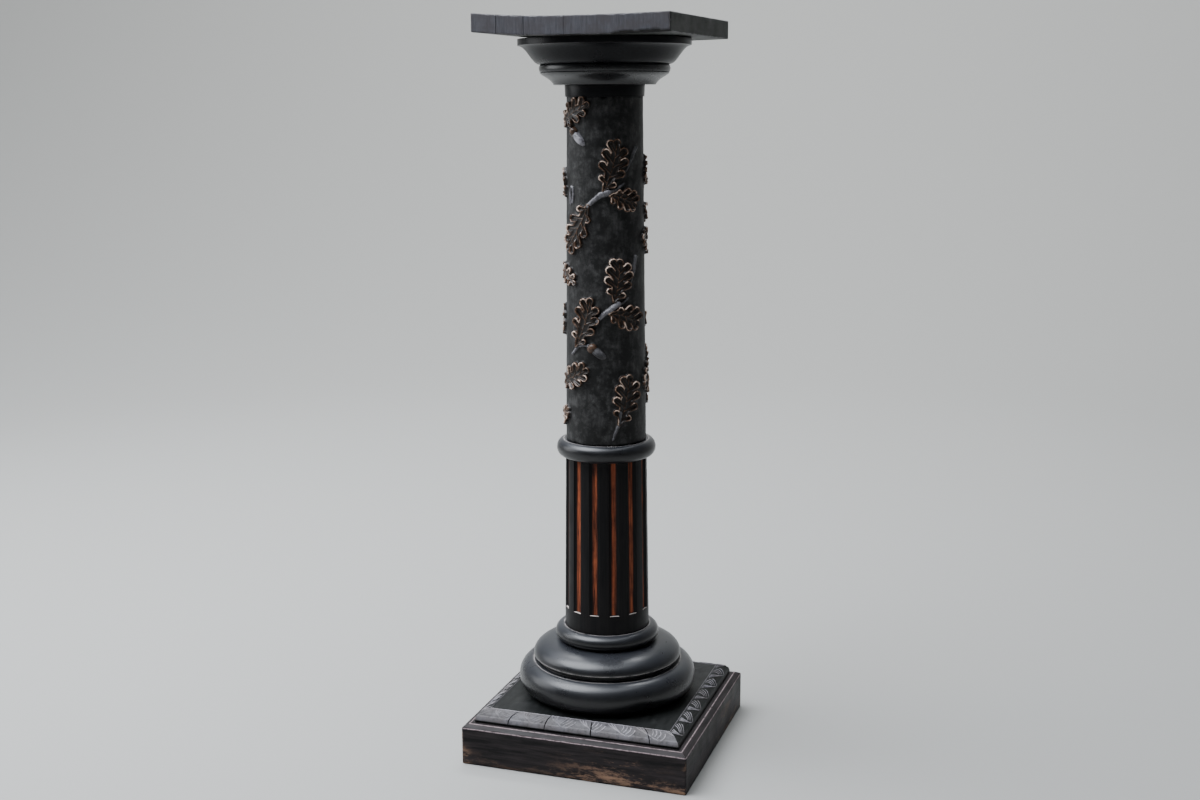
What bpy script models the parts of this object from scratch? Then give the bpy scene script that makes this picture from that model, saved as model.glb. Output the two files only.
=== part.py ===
"""Column pedestal: a square top board on a turned, carved and fluted wooden column.

The column stands on a turned base and a hollow square plinth. Metres, +Z up. The origin is on
the floor, in the middle of the plinth. Nothing on the pedestal moves: every joint is a spigot,
a screw or a glued mitre, and each wooden piece is an object of its own.
"""
import math

import bmesh
import bpy
from mathutils import Matrix

# Driving dimensions
HEIGHT = 1.103
GAP = 0.0003
SEGMENTS = 48

# Square top board. It is cupped, so its left edge, and its right edge less so, stand above its middle
TOP_SIDE = 0.290
TOP_THICK = 0.0263
TOP_LIFT_LEFT = 0.0065
TOP_LIFT_RIGHT = 0.0020
TOP_FACETS = 11
TOP_TWIST = math.radians(-1.7)

# Heights of the faces where the pieces of the column meet, from the floor up
BLOCK_TOP = 0.0617
BOARD_TOP = 0.0802
TORUS_TOP = 0.1299
BELL_TOP = 0.1622
BASE_RING_TOP = 0.1866
COLLAR_BOTTOM = 0.4549
COLLAR_TOP = 0.4807
NECK_BOTTOM = 0.9880
NECK_TOP = 1.0050
DISC_JOINT = 1.0338
TOP_MIDDLE = HEIGHT - TOP_LIFT_LEFT
DISC_TOP = TOP_MIDDLE - TOP_THICK - GAP

# Capital: an upper disc with a cyma under its fillet, and a lower disc with a cyma under its bead
CAP_FILLET_RADIUS = 0.1260
CAP_FILLET_HEIGHT = 0.0092
CAP_BOTTOM_RADIUS = 0.0944
CAP_TOP_PULL = 0.0128
CAP_BOTTOM_PULL = 0.0112
BEAD_RADIUS = 0.0955
BEAD_FILLET_RADIUS = 0.0926
BEAD_HEIGHT = 0.0110
LOWER_DISC_RADIUS = 0.0946
LOWER_DISC_FOOT_RADIUS = 0.0743
LOWER_DISC_TOP_PULL = (0.0044, 0.0058)
LOWER_DISC_FOOT_PULL = (0.0049, 0.0098)
CYMA_STEPS = 9
NECK_TOP_RADIUS = 0.0585
NECK_BOTTOM_RADIUS = 0.0578

# Column
SHAFT_TOP_RADIUS = 0.0556
SHAFT_BOTTOM_RADIUS = 0.0605
COLLAR_FILLET_RADIUS = 0.0643
COLLAR_RADIUS = 0.0752
FLUTED_TOP_RADIUS = 0.0616
FLUTED_BOTTOM_RADIUS = 0.0650
FLUTE_COUNT = 13
FLUTE_WIDTH = 0.0155
FLUTE_DEPTH = 0.0045
FLUTE_BOTTOM = 0.2160
FLUTE_TURN = math.radians(0.8)
FLUTE_SIDES = 12

# Turned base
BASE_RING_FILLET_RADIUS = 0.0662
BASE_RING_RADIUS = 0.0799
BELL_NECK_RADIUS = 0.0726
BELL_RADIUS = 0.1144
BELL_FOOT_RADIUS = 0.1070
BELL_FOOT_HEIGHT = 0.0083
BELL_LIP = 0.0012
BELL_TOP_PULL = 0.0231
BELL_LIP_PULL = 0.0126
TORUS_FILLET_RADIUS = 0.1142
TORUS_RADIUS = 0.1371

# Plinth: a board with a rounded edge on an open box of four mitred sides
PLINTH_WIDTH = 0.3507
PLINTH_DEPTH = 0.3432
BOARD_INSET = 0.0157
BOARD_ROUND_WIDTH = 0.0174
BOARD_LIP = 0.0028
CHAMFER_WIDTH = 0.0091
CHAMFER_HEIGHT = 0.0048
SIDE_THICK = 0.0240
BLOCK_LEG = 0.0300
BLOCK_RISE = 0.0080

# Spigots, the wedge in the lowest of them, and the wood screws
SPIGOT_RADIUS = 0.0200
SPIGOT_LENGTH = 0.0540
CAP_SPIGOT_TOP = 1.0550
KERF_DEPTH = 0.0350
KERF_WIDE = 0.0048
KERF_NARROW = 0.0024
WEDGE_LENGTH = 0.0360
SCREW_RADIUS = 0.0022
SCREW_HEAD_RADIUS = 0.0045
SCREW_HEAD_DEPTH = 0.0030
SCREW_POINT = 0.0040
SCREW_SLOT_WIDTH = 0.0010
SCREW_SLOT_DEPTH = 0.0009
SCREW_SEGMENTS = 12
CAP_SCREW_CIRCLE = 0.0560
CAP_SCREW_TOP = 1.0880
BASE_SCREW_CIRCLE = 0.0850
BASE_SCREW_TOP = 0.1020

# Colours as (red, green, blue), then roughness and metallic value
FINISHES = {
    "ebonised_top": ((0.030, 0.026, 0.028), 0.42, 0.0),
    "ebonised_turning": ((0.016, 0.015, 0.017), 0.34, 0.0),
    "carved_shaft": ((0.030, 0.026, 0.025), 0.55, 0.0),
    "fluted_shaft": ((0.022, 0.016, 0.014), 0.40, 0.0),
    "plinth_wood": ((0.022, 0.017, 0.015), 0.42, 0.0),
    "raw_wood": ((0.300, 0.185, 0.095), 0.70, 0.0),
    "screw_steel": ((0.350, 0.340, 0.330), 0.45, 1.0),
}


def clear_scene():
    for thing in list(bpy.data.objects):
        bpy.data.objects.remove(thing, do_unlink=True)


def make_finish(name):
    colour, roughness, metallic = FINISHES[name]
    material = bpy.data.materials.new(name)
    material.use_nodes = True
    shader = material.node_tree.nodes["Principled BSDF"]
    shader.inputs["Base Color"].default_value = (*colour, 1.0)
    shader.inputs["Roughness"].default_value = roughness
    shader.inputs["Metallic"].default_value = metallic
    return material


def new_object(name, work, finish):
    """Turn a bmesh into an object in the scene, with its faces pointing out."""
    bmesh.ops.recalc_face_normals(work, faces=work.faces[:])
    mesh = bpy.data.meshes.new(name)
    work.to_mesh(mesh)
    work.free()
    thing = bpy.data.objects.new(name, mesh)
    bpy.context.scene.collection.objects.link(thing)
    if finish is not None:
        mesh.materials.append(finish)
    return thing


def arc(centre, reach, start, end, steps):
    """Points on an ellipse about (radius, height) centre, with the angles in degrees."""
    points = []
    for step in range(steps + 1):
        angle = math.radians(start + (end - start) * step / steps)
        points.append((centre[0] + reach[0] * math.cos(angle), centre[1] + reach[1] * math.sin(angle)))
    return points


def cyma(start, start_pull, end_pull, end):
    """Points on a cubic curve from one (radius, height) point to another, pulled towards two more."""
    points = []
    for step in range(CYMA_STEPS + 1):
        share = step / CYMA_STEPS
        rest = 1.0 - share
        weights = (rest ** 3, 3 * rest ** 2 * share, 3 * rest * share ** 2, share ** 3)
        corners = (start, start_pull, end_pull, end)
        radius = sum(weight * corner[0] for weight, corner in zip(weights, corners))
        height = sum(weight * corner[1] for weight, corner in zip(weights, corners))
        points.append((radius, height))
    return points


def half_round(fillet_radius, radius, top, bottom, steps):
    """A bead's outer side, from its top edge down to its bottom edge."""
    middle = (top + bottom) / 2
    reach = (radius - fillet_radius, (top - bottom) / 2)
    return arc((fillet_radius, middle), reach, 90, -90, steps)


def turned(name, outline, finish, segments=SEGMENTS):
    """Spin a (radius, height) outline about the Z axis into one closed body.

    A ring's outline is closed by its last edge. A solid turning's outline starts and ends on
    the axis, so it stays open.
    """
    work = bmesh.new()
    corners = [work.verts.new((radius, 0.0, height)) for radius, height in outline]
    edges = [work.edges.new(pair) for pair in zip(corners, corners[1:])]
    if outline[0][0] > 0:
        edges.append(work.edges.new((corners[-1], corners[0])))
    bmesh.ops.spin(work, geom=corners + edges, axis=(0, 0, 1), cent=(0, 0, 0),
                   steps=segments, angle=2 * math.pi, use_merge=True)
    bmesh.ops.remove_doubles(work, verts=work.verts[:], dist=1e-6)
    thing = new_object(name, work, finish)
    thing.data.shade_smooth()
    thing.data.set_sharp_from_angle(angle=math.radians(35))
    return thing


def bored(outline, bore_radius):
    """Close a turning's outer side with a straight bore through its middle."""
    top = outline[0][1]
    bottom = outline[-1][1]
    return outline + [(bore_radius, bottom), (bore_radius, top)]


def loft(work, rings):
    """Join rings with the same number of corners into one closed body."""
    loops = [[work.verts.new(corner) for corner in ring] for ring in rings]
    count = len(loops[0])
    for lower, upper in zip(loops, loops[1:]):
        for index in range(count):
            after = (index + 1) % count
            work.faces.new((lower[index], lower[after], upper[after], upper[index]))
    work.faces.new(loops[0])
    work.faces.new(loops[-1])


def as_cutter(thing):
    thing.hide_render = True
    thing.display_type = "WIRE"
    return thing


def cut(thing, cutter):
    boolean = thing.modifiers.new(cutter.name, "BOOLEAN")
    boolean.operation = "DIFFERENCE"
    boolean.solver = "EXACT"
    boolean.object = cutter


def ring_positions(circle, turn):
    """Four places on a circle, halfway between the X and Y axes, turned by an angle."""
    places = []
    for quarter in range(4):
        angle = turn + math.radians(45 + 90 * quarter)
        places.append((circle * math.cos(angle), circle * math.sin(angle)))
    return places


def screw_outline(bottom, top, clearance):
    """A countersunk wood screw, head down, or the hole it sits in where clearance is given."""
    head = SCREW_HEAD_RADIUS + clearance
    shank = SCREW_RADIUS + clearance
    shoulder = bottom + SCREW_HEAD_DEPTH + clearance
    tip = top + clearance
    return [(0.0, tip), (shank, tip - SCREW_POINT), (shank, shoulder), (head, bottom), (0.0, bottom)]


def make_screws(prefix, circle, turn, bottom, top, pieces, finish):
    """Four slotted screws and their holes in the pieces that they pass through."""
    for number, (x, y) in enumerate(ring_positions(circle, turn), start=1):
        screw = turned(f"{prefix}_{number}", screw_outline(bottom, top, 0.0), finish, SCREW_SEGMENTS)
        screw.location = (x, y, 0.0)
        slot = bmesh.new()
        bmesh.ops.create_cube(slot, size=1.0)
        size = (4 * SCREW_HEAD_RADIUS, SCREW_SLOT_WIDTH, 2 * SCREW_SLOT_DEPTH)
        bmesh.ops.scale(slot, vec=size, verts=slot.verts[:])
        slot_cutter = as_cutter(new_object(f"{prefix}_slot_{number}", slot, None))
        slot_cutter.location = (x, y, bottom)
        slot_cutter.rotation_euler = (0.0, 0.0, math.radians(25 * number))
        cut(screw, slot_cutter)
        mouth = [(SCREW_HEAD_RADIUS + GAP, bottom - 2 * GAP), (0.0, bottom - 2 * GAP)]
        hole_outline = screw_outline(bottom, top, GAP)[:-1] + mouth
        hole = as_cutter(turned(f"{prefix}_hole_{number}", hole_outline, None, SCREW_SEGMENTS))
        hole.location = (x, y, 0.0)
        for piece in pieces:
            cut(piece, hole)


def top_board_lift(x):
    """How far the cupped board has risen at x. Its middle facet is still flat."""
    half = TOP_SIDE / 2
    flat = half / TOP_FACETS
    share = max(0.0, abs(x) - flat) / (half - flat)
    return (TOP_LIFT_LEFT if x < 0 else TOP_LIFT_RIGHT) * share ** 2


def make_top_board(finish):
    """The cupped square board, in flat facets from left to right."""
    half = TOP_SIDE / 2
    across = [half * (2 * step / TOP_FACETS - 1) for step in range(TOP_FACETS + 1)]
    upper = [(x, TOP_MIDDLE + top_board_lift(x)) for x in across]
    lower = [(x, z - TOP_THICK) for x, z in upper]
    section = lower + upper[::-1]
    work = bmesh.new()
    loft(work, [[(x, y, z) for x, z in section] for y in (-half, half)])
    bmesh.ops.rotate(work, cent=(0, 0, 0), matrix=Matrix.Rotation(TOP_TWIST, 3, "Z"), verts=work.verts[:])
    return new_object("top_board", work, finish)


def make_capital(finish):
    """Two turned discs under the top board: a fillet over a cyma, and a bead over a cyma."""
    socket_top = CAP_SPIGOT_TOP + 2 * GAP
    upper_bottom = DISC_JOINT + GAP
    fillet_bottom = DISC_TOP - CAP_FILLET_HEIGHT
    upper = [(0.0, DISC_TOP), (CAP_FILLET_RADIUS, DISC_TOP)]
    upper += cyma((CAP_FILLET_RADIUS, fillet_bottom), (CAP_FILLET_RADIUS - CAP_TOP_PULL, fillet_bottom),
                  (CAP_BOTTOM_RADIUS + CAP_BOTTOM_PULL, upper_bottom), (CAP_BOTTOM_RADIUS, upper_bottom))
    upper += [(SPIGOT_RADIUS + GAP, upper_bottom), (SPIGOT_RADIUS + GAP, socket_top), (0.0, socket_top)]
    upper_disc = turned("capital_upper_disc", upper, finish)

    bead_bottom = DISC_JOINT - BEAD_HEIGHT
    foot = NECK_TOP + GAP
    lower = half_round(BEAD_FILLET_RADIUS, BEAD_RADIUS, DISC_JOINT, bead_bottom, 6)
    inward, down = LOWER_DISC_TOP_PULL
    outward, up = LOWER_DISC_FOOT_PULL
    lower += cyma((LOWER_DISC_RADIUS, bead_bottom), (LOWER_DISC_RADIUS - inward, bead_bottom - down),
                  (LOWER_DISC_FOOT_RADIUS + outward, foot + up), (LOWER_DISC_FOOT_RADIUS, foot))
    turned("capital_lower_disc", bored(lower, SPIGOT_RADIUS + GAP), finish)
    return upper_disc


def make_neck_ring(finish):
    outline = [(NECK_TOP_RADIUS, NECK_TOP), (NECK_BOTTOM_RADIUS, NECK_BOTTOM + GAP)]
    turned("neck_ring", bored(outline, SPIGOT_RADIUS + GAP), finish)


def make_upper_shaft(finish):
    """The shaft that carries the carving, with a spigot at its top and a socket at its foot."""
    bottom = COLLAR_TOP + GAP
    socket_top = COLLAR_TOP + SPIGOT_LENGTH + 2 * GAP
    outline = [
        (0.0, CAP_SPIGOT_TOP),
        (SPIGOT_RADIUS, CAP_SPIGOT_TOP),
        (SPIGOT_RADIUS, NECK_BOTTOM),
        (SHAFT_TOP_RADIUS, NECK_BOTTOM),
        (SHAFT_BOTTOM_RADIUS, bottom),
        (SPIGOT_RADIUS + GAP, bottom),
        (SPIGOT_RADIUS + GAP, socket_top),
        (0.0, socket_top),
    ]
    turned("upper_shaft", outline, finish)


def make_ring(name, fillet_radius, radius, top, bottom, finish):
    outline = half_round(fillet_radius, radius, top, bottom, 8)
    turned(name, bored(outline, SPIGOT_RADIUS + GAP), finish)


def flute_ring(angle, height):
    """Corners of one flute's round section at a height, centred outside the shaft's skin."""
    share = (height - BASE_RING_TOP) / (COLLAR_BOTTOM - BASE_RING_TOP)
    skin = FLUTED_BOTTOM_RADIUS + (FLUTED_TOP_RADIUS - FLUTED_BOTTOM_RADIUS) * share
    radius = (FLUTE_WIDTH ** 2 / 4 + FLUTE_DEPTH ** 2) / (2 * FLUTE_DEPTH)
    centre = skin - FLUTE_DEPTH + radius
    corners = []
    for side in range(FLUTE_SIDES):
        turn = angle + 2 * math.pi * (side + 0.5) / FLUTE_SIDES
        x = centre * math.cos(angle) + radius * math.cos(turn)
        y = centre * math.sin(angle) + radius * math.sin(turn)
        corners.append((x, y, height))
    return corners


def make_flute_cutter():
    """The flutes stop above the base ring, and run out at the top under the collar."""
    work = bmesh.new()
    for number in range(FLUTE_COUNT):
        angle = FLUTE_TURN - math.pi / 2 + 2 * math.pi * number / FLUTE_COUNT
        loft(work, [flute_ring(angle, height) for height in (FLUTE_BOTTOM, COLLAR_BOTTOM)])
    return as_cutter(new_object("flute_cutter", work, None))


def wedge_rings(bottom, top, clearance):
    """Flat-sided wedge across the spigot, narrow end up."""
    rings = []
    for height, width in ((bottom, KERF_WIDE), (top, KERF_NARROW)):
        x = width / 2 + clearance
        y = WEDGE_LENGTH / 2 + clearance
        rings.append([(-x, -y, height), (x, -y, height), (x, y, height), (-x, y, height)])
    return rings


def make_lower_shaft(finish, wedge_finish):
    """The fluted shaft. Its lower spigot passes through the whole base and is wedged there."""
    top = COLLAR_BOTTOM - GAP
    bottom = BASE_RING_TOP + GAP
    foot = BLOCK_TOP + GAP
    outline = [
        (0.0, COLLAR_TOP + SPIGOT_LENGTH),
        (SPIGOT_RADIUS, COLLAR_TOP + SPIGOT_LENGTH),
        (SPIGOT_RADIUS, top),
        (FLUTED_TOP_RADIUS, top),
        (FLUTED_BOTTOM_RADIUS, bottom),
        (SPIGOT_RADIUS, bottom),
        (SPIGOT_RADIUS, foot),
        (0.0, foot),
    ]
    shaft = turned("lower_shaft", outline, finish)
    cut(shaft, make_flute_cutter())

    kerf = bmesh.new()
    loft(kerf, wedge_rings(foot - GAP, foot + KERF_DEPTH, GAP))
    cut(shaft, as_cutter(new_object("kerf_cutter", kerf, None)))
    wedge = bmesh.new()
    loft(wedge, wedge_rings(foot, foot + KERF_DEPTH - 2 * GAP, 0.0))
    new_object("tenon_wedge", wedge, wedge_finish)


def make_turned_base(finish):
    """The bell, whose lip overhangs a dark quirk, and the big torus under it."""
    bore = SPIGOT_RADIUS + GAP
    foot = TORUS_TOP + GAP
    lip_bottom = foot + BELL_FOOT_HEIGHT
    lip_top = lip_bottom + BELL_LIP
    bell = cyma((BELL_NECK_RADIUS, BELL_TOP), (BELL_NECK_RADIUS + BELL_TOP_PULL, BELL_TOP),
                (BELL_RADIUS, lip_top + BELL_LIP_PULL), (BELL_RADIUS, lip_top))
    bell += [(BELL_RADIUS, lip_bottom), (BELL_FOOT_RADIUS, lip_bottom), (BELL_FOOT_RADIUS, foot)]
    turned("base_bell", bored(bell, bore), finish)

    torus = half_round(TORUS_FILLET_RADIUS, TORUS_RADIUS, TORUS_TOP, BOARD_TOP + GAP, 10)
    return turned("base_torus", bored(torus, bore), finish)


def rectangle(inset, height):
    """Corners of a level rectangle, that far inside the plinth's outline."""
    x = PLINTH_WIDTH / 2 - inset
    y = PLINTH_DEPTH / 2 - inset
    return [(-x, -y, height), (x, -y, height), (x, y, height), (-x, y, height)]


def make_plinth_board(finish):
    """The board on top of the plinth, with a quarter-round edge all round."""
    underside = BLOCK_TOP + GAP
    lip_top = underside + BOARD_LIP
    outline = arc((BOARD_ROUND_WIDTH, lip_top), (BOARD_ROUND_WIDTH, BOARD_TOP - lip_top), 180, 90, 6)
    rings = [rectangle(BOARD_INSET, underside)]
    rings += [rectangle(BOARD_INSET + inset, height) for inset, height in outline]
    work = bmesh.new()
    loft(work, rings)
    board = new_object("plinth_board", work, finish)
    bore_outline = [(0.0, BOARD_TOP + GAP), (SPIGOT_RADIUS + GAP, BOARD_TOP + GAP),
                    (SPIGOT_RADIUS + GAP, underside - GAP), (0.0, underside - GAP)]
    cut(board, as_cutter(turned("board_bore_cutter", bore_outline, None)))
    return board


def make_plinth_side(name, length, reach, turn, finish):
    """One side board, mitred at both ends, with a chamfer along its top edge."""
    section = [
        (0.0, 0.0),
        (0.0, BLOCK_TOP - CHAMFER_HEIGHT),
        (CHAMFER_WIDTH, BLOCK_TOP),
        (SIDE_THICK, BLOCK_TOP),
        (SIDE_THICK, 0.0),
    ]
    ends = []
    for side in (-1, 1):
        ends.append([(side * (length / 2 - inset - GAP), inset - reach, z) for inset, z in section])
    work = bmesh.new()
    loft(work, ends)
    bmesh.ops.rotate(work, cent=(0, 0, 0), matrix=Matrix.Rotation(turn, 3, "Z"), verts=work.verts[:])
    new_object(name, work, finish)


def make_corner_block(number, x_sign, y_sign, finish):
    """A three-cornered glue block in one inner corner of the plinth."""
    x = PLINTH_WIDTH / 2 - SIDE_THICK - GAP
    y = PLINTH_DEPTH / 2 - SIDE_THICK - GAP
    corners = [(x, y), (x - BLOCK_LEG, y), (x, y - BLOCK_LEG)]
    work = bmesh.new()
    heights = (BLOCK_RISE, BLOCK_TOP)
    loft(work, [[(x_sign * across, y_sign * along, z) for across, along in corners] for z in heights])
    new_object(f"corner_block_{number}", work, finish)


def make_plinth_box(finish, block_finish):
    sides = (
        ("plinth_front", PLINTH_WIDTH, PLINTH_DEPTH / 2),
        ("plinth_right", PLINTH_DEPTH, PLINTH_WIDTH / 2),
        ("plinth_rear", PLINTH_WIDTH, PLINTH_DEPTH / 2),
        ("plinth_left", PLINTH_DEPTH, PLINTH_WIDTH / 2),
    )
    for quarter, (name, length, reach) in enumerate(sides):
        make_plinth_side(name, length, reach, math.radians(90 * quarter), finish)
    signs = ((-1, -1), (1, -1), (1, 1), (-1, 1))
    for number, (x_sign, y_sign) in enumerate(signs, start=1):
        make_corner_block(number, x_sign, y_sign, block_finish)


def main():
    clear_scene()
    finishes = {name: make_finish(name) for name in FINISHES}
    turning = finishes["ebonised_turning"]

    top_board = make_top_board(finishes["ebonised_top"])
    upper_disc = make_capital(turning)
    make_screws("cap_screw", CAP_SCREW_CIRCLE, TOP_TWIST, DISC_JOINT + GAP, CAP_SCREW_TOP,
                (upper_disc, top_board), finishes["screw_steel"])
    make_neck_ring(turning)
    make_upper_shaft(finishes["carved_shaft"])
    make_ring("middle_collar", COLLAR_FILLET_RADIUS, COLLAR_RADIUS, COLLAR_TOP, COLLAR_BOTTOM, turning)
    make_lower_shaft(finishes["fluted_shaft"], finishes["raw_wood"])
    make_ring("base_ring", BASE_RING_FILLET_RADIUS, BASE_RING_RADIUS, BASE_RING_TOP, BELL_TOP + GAP, turning)
    torus = make_turned_base(turning)
    plinth_board = make_plinth_board(finishes["plinth_wood"])
    make_screws("base_screw", BASE_SCREW_CIRCLE, 0.0, BLOCK_TOP + GAP, BASE_SCREW_TOP,
                (plinth_board, torus), finishes["screw_steel"])
    make_plinth_box(finishes["plinth_wood"], finishes["raw_wood"])


main()
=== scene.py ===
"""Looks of the column pedestal: every visible wooden piece is modelled finely around the CAD frame.

Lengths are in metres. Angles round the column are in degrees from the front (-Y) towards the right (+X).
"""

import math

import bpy
import numpy as np
from mathutils import Matrix, Vector


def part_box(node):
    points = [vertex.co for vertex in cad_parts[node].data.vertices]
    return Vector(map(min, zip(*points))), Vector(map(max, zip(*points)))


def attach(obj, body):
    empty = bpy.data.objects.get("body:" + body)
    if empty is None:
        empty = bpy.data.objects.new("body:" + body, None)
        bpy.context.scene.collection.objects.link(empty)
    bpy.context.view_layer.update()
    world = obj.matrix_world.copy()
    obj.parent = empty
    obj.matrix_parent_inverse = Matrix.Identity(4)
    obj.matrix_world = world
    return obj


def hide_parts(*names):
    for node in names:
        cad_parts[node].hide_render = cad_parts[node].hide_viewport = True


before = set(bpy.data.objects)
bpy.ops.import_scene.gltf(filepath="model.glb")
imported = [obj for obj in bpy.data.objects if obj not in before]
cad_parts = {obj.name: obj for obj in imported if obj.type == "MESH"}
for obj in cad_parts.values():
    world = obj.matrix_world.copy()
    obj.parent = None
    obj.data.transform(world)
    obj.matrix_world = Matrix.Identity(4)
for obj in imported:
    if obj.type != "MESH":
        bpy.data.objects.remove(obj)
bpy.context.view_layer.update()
BODY = "root"

# Fineness of the meshes. Columns are those of one flute, one side of the border, one plinth side
TURNED_SEGMENTS = 192
BEAD_STEPS = 20
RELIEF_STEP = 0.00075
RELIEF_TRIANGLES = 185_000
FLUTE_COLUMNS = 44
BORDER_COLUMNS = 600
BORDER_RINGS = 28
SIDE_COLUMNS = 220

# An outline's corner that turns less than this many degrees belongs to a curve, and isn't rounded
SOFT_ANGLE = 25

# Gap between neighbours
GAP = 0.0003

# Top board: cupped, in TOP_STRETCHES straight stretches as in the frame, and turned a little (degrees)
TOP_TURN = -1.7
TOP_THICK = 0.0263
TOP_LIFT_LEFT = 0.0065
TOP_LIFT_RIGHT = 0.0020
TOP_STRETCHES = 11
TOP_INSIDE = 0.0002
TOP_EDGE_RADIUS = 0.0014
# Cracks in its ends: place across it, half-width, depth, length, and which end
TOP_CRACKS = (
    (-0.1065, 0.0004, 0.0020, 0.060, -1),
    (-0.0655, 0.0004, 0.0024, 0.050, -1),
    (-0.0060, 0.0003, 0.0003, 0.010, -1),
    (0.0030, 0.0005, 0.0024, 0.030, 1),
    (0.0820, 0.0007, 0.0038, 0.060, 1),
)
CRACK_SKIN = 0.0008
# Slivers broken off its lower front edge: from, to, and height
TOP_CHIPS = ((0.062, 0.150, 0.0052), (-0.02, 0.03, 0.0012))
CHIP_DEPTH = 0.0034

# Turnings. A share is of the piece's outer radius, and a pull shapes an end of a cyma curve
BORE_RADIUS = 0.0203
LIP_WEAR_REACH = 0.0011
SHRINKAGE = 0.0015
CAP_FOOT_SHARE = 0.749
CAP_FOOT_PULL = 0.0112
CAP_RIM_PULL = 0.0128
CAP_FILLET_HEIGHT = 0.0092
LOWER_DISC_FOOT_SHARE = 0.778
LOWER_DISC_FOOT_PULL = (0.0049, 0.0098)
LOWER_DISC_TOP_SHARE = 0.988
LOWER_DISC_TOP_PULL = (0.0044, 0.0062)
LOWER_DISC_STEP = 0.0004
BEAD_HEIGHT = 0.0110
BEAD_SHARE = 0.970
NECK_FOOT_SHARE = 0.988
# Half-round rings: share where the rounding ends, and radius of the recess round the shaft
RINGS = {"middle_collar": (0.855, 0.0590), "base_ring": (0.829, 0.0630)}
RING_GROOVE = 0.0011
BELL_FOOT_SHARE = 0.935
BELL_FOOT_HEIGHT = 0.0083
BELL_FOOT_COVE = (0.0012, 0.0010)
BELL_LIP_HEIGHT = 0.0012
BELL_LIP_PULL = 0.0126
BELL_NECK_SHARE = 0.635
BELL_TOP_PULL = 0.0231
TORUS_SHARE = 0.833
TORUS_GROOVE = 0.0014

# Shafts: each taper is the top radius as a share of the foot's
SHAFT_TAPER = 0.919
# The carved shaft's top reaches into the gap under the neck ring, so that no light shows through
SHAFT_TOP_GAP = 0.0001
FLUTED_TAPER = 0.9477
FLUTE_COUNT = 13
FLUTE_SHARE = 0.507
FLUTE_DEPTH = 0.0045
FLUTE_BOTTOM = 0.216
FLUTE_TURN = 0.8
FLUTE_ROUNDNESS = 0.06

# Plinth board: its carved edge is a quarter round over a lip, and a shallow groove runs inside it
BORDER_WIDTH = 0.0174
BORDER_LIP = 0.0028
GROOVE_DEPTH = 0.0007
CARVING_DEPTH = 0.0010
CARVED_FROM = 0.34
UNITS_PER_SIDE = 6.5
# The carving starts a little further along on each side in turn
UNIT_SHIFT = 0.010
# Strokes of one unit of the border: (along, across) of start and end as shares of the unit and of
# the border's width, sideways bow, and half-width as a share of the unit
BORDER_STROKES = (
    ((0.14, 0.26), (-0.42, 0.96), -0.08, 0.016),
    ((0.02, 0.34), (-0.31, 0.97), -0.06, 0.015),
    ((-0.06, 0.46), (-0.21, 0.95), -0.03, 0.014),
    ((0.18, 0.24), (0.47, 0.72), 0.05, 0.016),
    ((0.12, 0.38), (0.36, 0.88), 0.05, 0.015),
    ((0.06, 0.46), (0.24, 0.96), 0.04, 0.014),
    ((0.00, 0.54), (0.11, 0.97), 0.03, 0.014),
)
# Cracks across the front and back borders: place along it and half-width
BORDER_CRACKS = ((-0.106, 0.0005), (-0.048, 0.0005), (0.025, 0.0006), (0.116, 0.0005))
BORDER_CRACK_DEPTH = 0.0020
# What a ring of the board's mesh has instead of a share of the way across the carving
PLAIN = -1.0
RUBBED_LINE = -2.0

# Plinth sides
SIDE_THICK = 0.0240
SIDE_EDGE_RADIUS = 0.0012
CHAMFER_WIDTH = 0.0091
CHAMFER_HEIGHT = 0.0048
MITRE_WEAR_REACH = 0.0024
MITRE_WEAR_DEPTH = 0.0012

# Oak leaves. Heights stand over the ground, and widths run inwards from the leaf's outline
LEAF_HEIGHT = 0.0024
RIM_INSET = 0.0016
RIM_WIDTH = 0.0013
RIM_RISE = 0.0016
LOBE_RISE = 0.0006
LOBE_RIM_RISE = 0.0014
DISH_DEPTH = 0.0016
VEIN_WIDTH = 0.00085
VEIN_RISE = 0.0014
# Lobes on each side of a leaf: place along it, reach in half-widths, degrees from the midrib, size
LEAF_LOBES = ((0.13, 0.50, 62, 0.80), (0.31, 0.80, 57, 1.00), (0.50, 0.86, 50, 1.10), (0.69, 0.72, 42, 1.05))
# How much further along a leaf the lobes of one side stand than those of the other
LOBE_STAGGER = 0.035
# Rims that face this way, across and up, towards the light, get a painted highlight
PAINTED_LIT_SIDE = (-0.6, 0.8)

# Stems and acorns. A nut or cup has its ends as shares of the acorn's length, its radius and height
STEM_FOOT = 0.0014
STEM_FLATNESS = 0.85
TWIG_RADII = (0.0014, 0.0016, 0.0022)
TWIG_BOW = 0.0015
# The twig's wear is negative: a painted silver-grey highlight
TWIG_PAINTED_HIGHLIGHT = -0.6
NUT = (0.10, 1.0, 0.0062, 0.0064)
CUP = (-0.04, 0.42, 0.0078, 0.0070)
CUP_WEAR = 0.50
ACORN_MARGIN = 0.010

# The spray keeps inside these heights. At the back it stands higher, and it repeats below itself
SPRAY_BOTTOM = 0.490
SPRAY_TOP = 0.984
BACK_TURN = 180.0
BACK_RISE = 0.086
SPRAY_REPEAT = 0.5
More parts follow.
